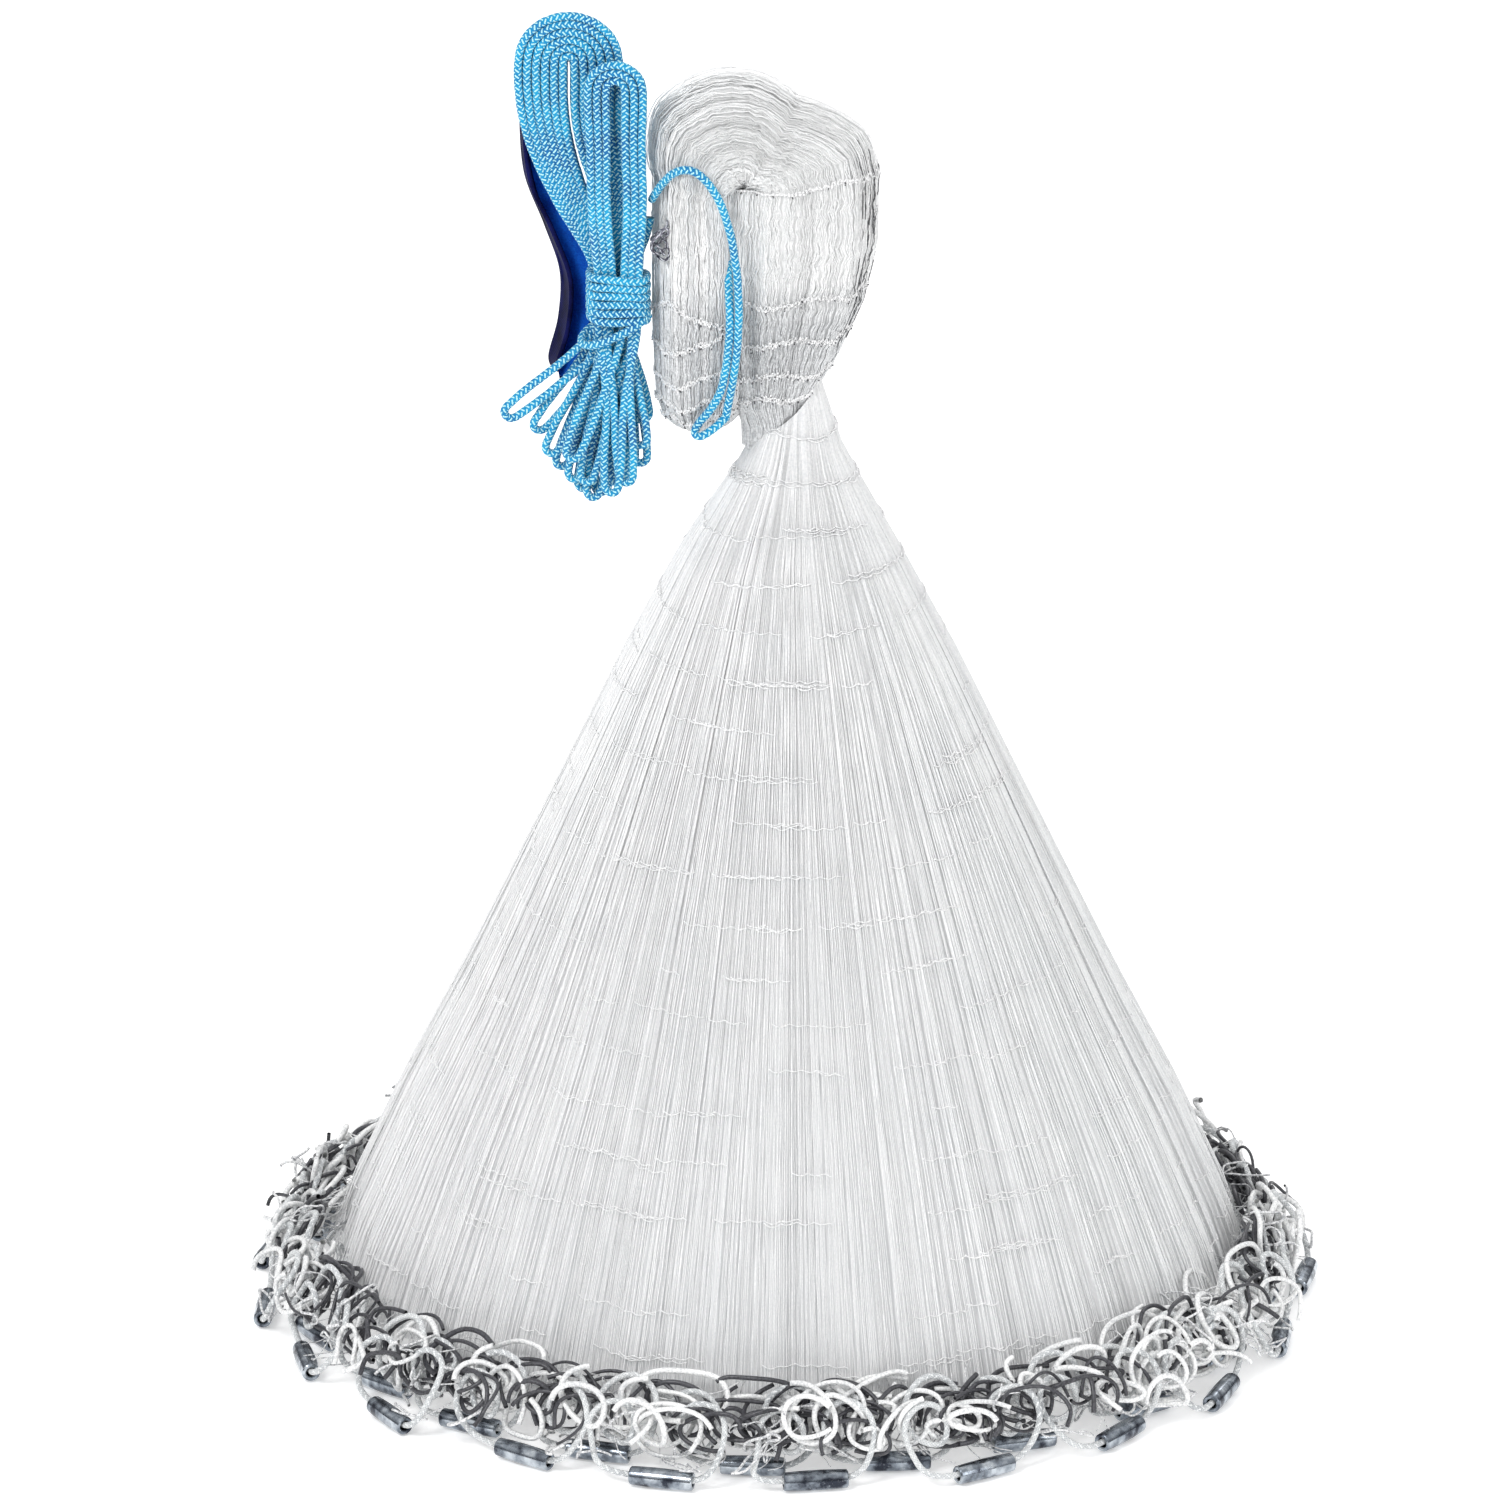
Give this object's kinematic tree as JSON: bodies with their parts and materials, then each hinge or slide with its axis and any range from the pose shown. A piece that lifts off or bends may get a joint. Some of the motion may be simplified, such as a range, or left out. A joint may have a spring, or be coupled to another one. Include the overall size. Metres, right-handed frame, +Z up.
{
  "type": "cast net",
  "caption": "Throw net of fine clear netting, bundled: a cone skirt on a ring of tube sinkers along a slack lead line, folded head tied by a cord, hanked hand line and wrist strap.",
  "frame": {"origin": "centre of the ring of sinkers, on the ground they lie on", "axes": "+Z up through the gathered neck; the hank of hand line is to -X; the head tie and its knot face -Y"},
  "size_m": [0.5102, 0.5074, 0.6398],
  "materials": {
    "netting": "clear monofilament, semi-gloss",
    "twine": "twisted white twine",
    "lead_line": "braided white-grey cord",
    "hand_line": "braided blue cord with white flecks",
    "strap_webbing": "tight dark blue webbing, slight sheen",
    "sinker_metal": "zinc-plated, tumbled"
  },
  "bodies": {
    "net": {"net_skirt": "netting", "net_neck": "netting", "head_rising_fold": "netting", "head_hanging_fold": "netting", "head_crown": "netting", "crown_lashing": "twine", "hem_selvedge": "twine", "hem_ties": "twine", "lead_line": "lead_line", "lead_line_knot": "lead_line", "head_tie": "hand_line", "head_tie_knot": "hand_line"},
    "hank": {"hand_line_hank": "hand_line", "hank_wraps": "hand_line", "strap_hitch": "hand_line"},
    "strap": {"wrist_strap": "strap_webbing"},
    "sinker_01": {"sinker_01": "sinker_metal"},
    "sinker_02": {"sinker_02": "sinker_metal"},
    "sinker_03": {"sinker_03": "sinker_metal"},
    "sinker_04": {"sinker_04": "sinker_metal"},
    "sinker_05": {"sinker_05": "sinker_metal"},
    "sinker_06": {"sinker_06": "sinker_metal"},
    "sinker_07": {"sinker_07": "sinker_metal"},
    "sinker_08": {"sinker_08": "sinker_metal"},
    "sinker_09": {"sinker_09": "sinker_metal"},
    "sinker_10": {"sinker_10": "sinker_metal"},
    "sinker_11": {"sinker_11": "sinker_metal"},
    "sinker_12": {"sinker_12": "sinker_metal"},
    "sinker_13": {"sinker_13": "sinker_metal"},
    "sinker_14": {"sinker_14": "sinker_metal"},
    "sinker_15": {"sinker_15": "sinker_metal"},
    "sinker_16": {"sinker_16": "sinker_metal"},
    "sinker_17": {"sinker_17": "sinker_metal"},
    "sinker_18": {"sinker_18": "sinker_metal"},
    "sinker_19": {"sinker_19": "sinker_metal"},
    "sinker_20": {"sinker_20": "sinker_metal"},
    "sinker_21": {"sinker_21": "sinker_metal"},
    "sinker_22": {"sinker_22": "sinker_metal"},
    "sinker_23": {"sinker_23": "sinker_metal"},
    "sinker_24": {"sinker_24": "sinker_metal"},
    "sinker_25": {"sinker_25": "sinker_metal"},
    "sinker_26": {"sinker_26": "sinker_metal"},
    "sinker_27": {"sinker_27": "sinker_metal"},
    "sinker_28": {"sinker_28": "sinker_metal"},
    "sinker_29": {"sinker_29": "sinker_metal"},
    "sinker_30": {"sinker_30": "sinker_metal"},
    "sinker_31": {"sinker_31": "sinker_metal"},
    "sinker_32": {"sinker_32": "sinker_metal"},
    "sinker_33": {"sinker_33": "sinker_metal"},
    "sinker_34": {"sinker_34": "sinker_metal"},
    "sinker_35": {"sinker_35": "sinker_metal"},
    "sinker_36": {"sinker_36": "sinker_metal"},
    "sinker_37": {"sinker_37": "sinker_metal"},
    "sinker_38": {"sinker_38": "sinker_metal"},
    "sinker_39": {"sinker_39": "sinker_metal"},
    "sinker_40": {"sinker_40": "sinker_metal"},
    "sinker_41": {"sinker_41": "sinker_metal"},
    "sinker_42": {"sinker_42": "sinker_metal"}
  },
  "joints": [
    {"name": "hank_swing", "type": "hinge", "parent": "net", "child": "hank", "pos_m": [-0.0615, -0.016, 0.549], "axis": [0, 0, 1], "range_deg": [-10, 30]},
    {"name": "strap_swing", "type": "hinge", "parent": "hank", "child": "strap", "pos_m": [-0.091, -0.003, 0.5], "axis": [0, 0, 1], "range_deg": [-30, 0]},
    {"name": "sinker_01_spin", "type": "hinge", "parent": "net", "child": "sinker_01", "pos_m": [0.24913, 0, 0.00475], "axis": [0.216, 0.9764, 0], "continuous": true},
    {"name": "sinker_02_spin", "type": "hinge", "parent": "net", "child": "sinker_02", "pos_m": [0.2275, 0.03702, 0.00475], "axis": [-0.3394, 0.9407, 0], "continuous": true},
    {"name": "sinker_03_spin", "type": "hinge", "parent": "net", "child": "sinker_03", "pos_m": [0.23664, 0.06897, 0.00475], "axis": [-0.1418, 0.9899, 0], "continuous": true},
    {"name": "sinker_04_spin", "type": "hinge", "parent": "net", "child": "sinker_04", "pos_m": [0.20442, 0.10074, 0.00475], "axis": [-0.5205, 0.8539, 0], "continuous": true},
    {"name": "sinker_05_spin", "type": "hinge", "parent": "net", "child": "sinker_05", "pos_m": [0.2059, 0.14144, 0.00475], "axis": [-0.5391, 0.8423, 0], "continuous": true},
    {"name": "sinker_06_spin", "type": "hinge", "parent": "net", "child": "sinker_06", "pos_m": [0.17047, 0.15386, 0.00475], "axis": [-0.6503, 0.7597, 0], "continuous": true},
    {"name": "sinker_07_spin", "type": "hinge", "parent": "net", "child": "sinker_07", "pos_m": [0.15053, 0.19461, 0.00475], "axis": [-0.8394, 0.5436, 0], "continuous": true},
    {"name": "sinker_08_spin", "type": "hinge", "parent": "net", "child": "sinker_08", "pos_m": [0.11562, 0.19751, 0.00475], "axis": [-0.7864, 0.6177, 0], "continuous": true},
    {"name": "sinker_09_spin", "type": "hinge", "parent": "net", "child": "sinker_09", "pos_m": [0.09292, 0.23209, 0.00475], "axis": [-0.9801, 0.1987, 0], "continuous": true},
    {"name": "sinker_10_spin", "type": "hinge", "parent": "net", "child": "sinker_10", "pos_m": [0.0475, 0.22363, 0.00475], "axis": [-0.9114, 0.4115, 0], "continuous": true},
    {"name": "sinker_11_spin", "type": "hinge", "parent": "net", "child": "sinker_11", "pos_m": [0.02165, 0.24515, 0.00475], "axis": [-0.989, -0.1478, 0], "continuous": true},
    {"name": "sinker_12_spin", "type": "hinge", "parent": "net", "child": "sinker_12", "pos_m": [-0.01778, 0.22918, 0.00475], "axis": [-0.9861, 0.1661, 0], "continuous": true},
    {"name": "sinker_13_spin", "type": "hinge", "parent": "net", "child": "sinker_13", "pos_m": [-0.05794, 0.24286, 0.00475], "axis": [-0.8906, -0.4549, 0], "continuous": true},
    {"name": "sinker_14_spin", "type": "hinge", "parent": "net", "child": "sinker_14", "pos_m": [-0.07985, 0.21324, 0.00475], "axis": [-0.9902, -0.14, 0], "continuous": true},
    {"name": "sinker_15_spin", "type": "hinge", "parent": "net", "child": "sinker_15", "pos_m": [-0.12569, 0.21223, 0.00475], "axis": [-0.752, -0.6592, 0], "continuous": true},
    {"name": "sinker_16_spin", "type": "hinge", "parent": "net", "child": "sinker_16", "pos_m": [-0.14397, 0.1802, 0.00475], "axis": [-0.8615, -0.5078, 0], "continuous": true},
    {"name": "sinker_17_spin", "type": "hinge", "parent": "net", "child": "sinker_17", "pos_m": [-0.18037, 0.17153, 0.00475], "axis": [-0.6214, -0.7835, 0], "continuous": true},
    {"name": "sinker_18_spin", "type": "hinge", "parent": "net", "child": "sinker_18", "pos_m": [-0.18961, 0.12502, 0.00475], "axis": [-0.5775, -0.8164, 0], "continuous": true},
    {"name": "sinker_19_spin", "type": "hinge", "parent": "net", "child": "sinker_19", "pos_m": [-0.22215, 0.10927, 0.00475], "axis": [-0.4647, -0.8855, 0], "continuous": true},
    {"name": "sinker_20_spin", "type": "hinge", "parent": "net", "child": "sinker_20", "pos_m": [-0.22043, 0.06905, 0.00475], "axis": [-0.2183, -0.9759, 0], "continuous": true},
    {"name": "sinker_21_spin", "type": "hinge", "parent": "net", "child": "sinker_21", "pos_m": [-0.24564, 0.03347, 0.00475], "axis": [-0.2681, -0.9634, 0], "continuous": true},
    {"name": "sinker_22_spin", "type": "hinge", "parent": "net", "child": "sinker_22", "pos_m": [-0.22701, 0.00329, 0.00475], "axis": [0.1654, -0.9862, 0], "continuous": true},
    {"name": "sinker_23_spin", "type": "hinge", "parent": "net", "child": "sinker_23", "pos_m": [-0.24562, -0.03832, 0.00475], "axis": [-0.06, -0.9982, 0], "continuous": true},
    {"name": "sinker_24_spin", "type": "hinge", "parent": "net", "child": "sinker_24", "pos_m": [-0.22004, -0.06972, 0.00475], "axis": [0.5169, -0.856, 0], "continuous": true},
    {"name": "sinker_25_spin", "type": "hinge", "parent": "net", "child": "sinker_25", "pos_m": [-0.2241, -0.10372, 0.00475], "axis": [0.188, -0.9822, 0], "continuous": true},
    {"name": "sinker_26_spin", "type": "hinge", "parent": "net", "child": "sinker_26", "pos_m": [-0.18628, -0.13052, 0.00475], "axis": [0.7508, -0.6606, 0], "continuous": true},
    {"name": "sinker_27_spin", "type": "hinge", "parent": "net", "child": "sinker_27", "pos_m": [-0.18316, -0.16936, 0.00475], "axis": [0.5041, -0.8637, 0], "continuous": true},
    {"name": "sinker_28_spin", "type": "hinge", "parent": "net", "child": "sinker_28", "pos_m": [-0.14539, -0.17844, 0.00475], "axis": [0.8783, -0.4781, 0], "continuous": true},
    {"name": "sinker_29_spin", "type": "hinge", "parent": "net", "child": "sinker_29", "pos_m": [-0.11976, -0.21516, 0.00475], "axis": [0.7963, -0.6049, 0], "continuous": true},
    {"name": "sinker_30_spin", "type": "hinge", "parent": "net", "child": "sinker_30", "pos_m": [-0.08561, -0.21162, 0.00475], "axis": [0.957, -0.2902, 0], "continuous": true},
    {"name": "sinker_31_spin", "type": "hinge", "parent": "net", "child": "sinker_31", "pos_m": [-0.05606, -0.24358, 0.00475], "axis": [0.9666, -0.2563, 0], "continuous": true},
    {"name": "sinker_32_spin", "type": "hinge", "parent": "net", "child": "sinker_32", "pos_m": [-0.01419, -0.22877, 0.00475], "axis": [0.9961, -0.0877, 0], "continuous": true},
    {"name": "sinker_33_spin", "type": "hinge", "parent": "net", "child": "sinker_33", "pos_m": [0.01463, -0.24557, 0.00475], "axis": [0.9898, 0.1423, 0], "continuous": true},
    {"name": "sinker_34_spin", "type": "hinge", "parent": "net", "child": "sinker_34", "pos_m": [0.05271, -0.22316, 0.00475], "axis": [0.9954, 0.096, 0], "continuous": true},
    {"name": "sinker_35_spin", "type": "hinge", "parent": "net", "child": "sinker_35", "pos_m": [0.09252, -0.23216, 0.00475], "axis": [0.8474, 0.5309, 0], "continuous": true},
    {"name": "sinker_36_spin", "type": "hinge", "parent": "net", "child": "sinker_36", "pos_m": [0.11122, -0.19927, 0.00475], "axis": [0.957, 0.2902, 0], "continuous": true},
    {"name": "sinker_37_spin", "type": "hinge", "parent": "net", "child": "sinker_37", "pos_m": [0.15626, -0.19036, 0.00475], "axis": [0.6029, 0.7978, 0], "continuous": true},
    {"name": "sinker_38_spin", "type": "hinge", "parent": "net", "child": "sinker_38", "pos_m": [0.1681, -0.15733, 0.00475], "axis": [0.8396, 0.5431, 0], "continuous": true},
    {"name": "sinker_39_spin", "type": "hinge", "parent": "net", "child": "sinker_39", "pos_m": [0.20487, -0.14222, 0.00475], "axis": [0.3604, 0.9328, 0], "continuous": true},
    {"name": "sinker_40_spin", "type": "hinge", "parent": "net", "child": "sinker_40", "pos_m": [0.20639, -0.09548, 0.00475], "axis": [0.6063, 0.7953, 0], "continuous": true},
    {"name": "sinker_41_spin", "type": "hinge", "parent": "net", "child": "sinker_41", "pos_m": [0.23513, -0.07569, 0.00475], "axis": [0.1258, 0.9921, 0], "continuous": true},
    {"name": "sinker_42_spin", "type": "hinge", "parent": "net", "child": "sinker_42", "pos_m": [0.2283, -0.03422, 0.00475], "axis": [0.2866, 0.9581, 0], "continuous": true}
  ]
}
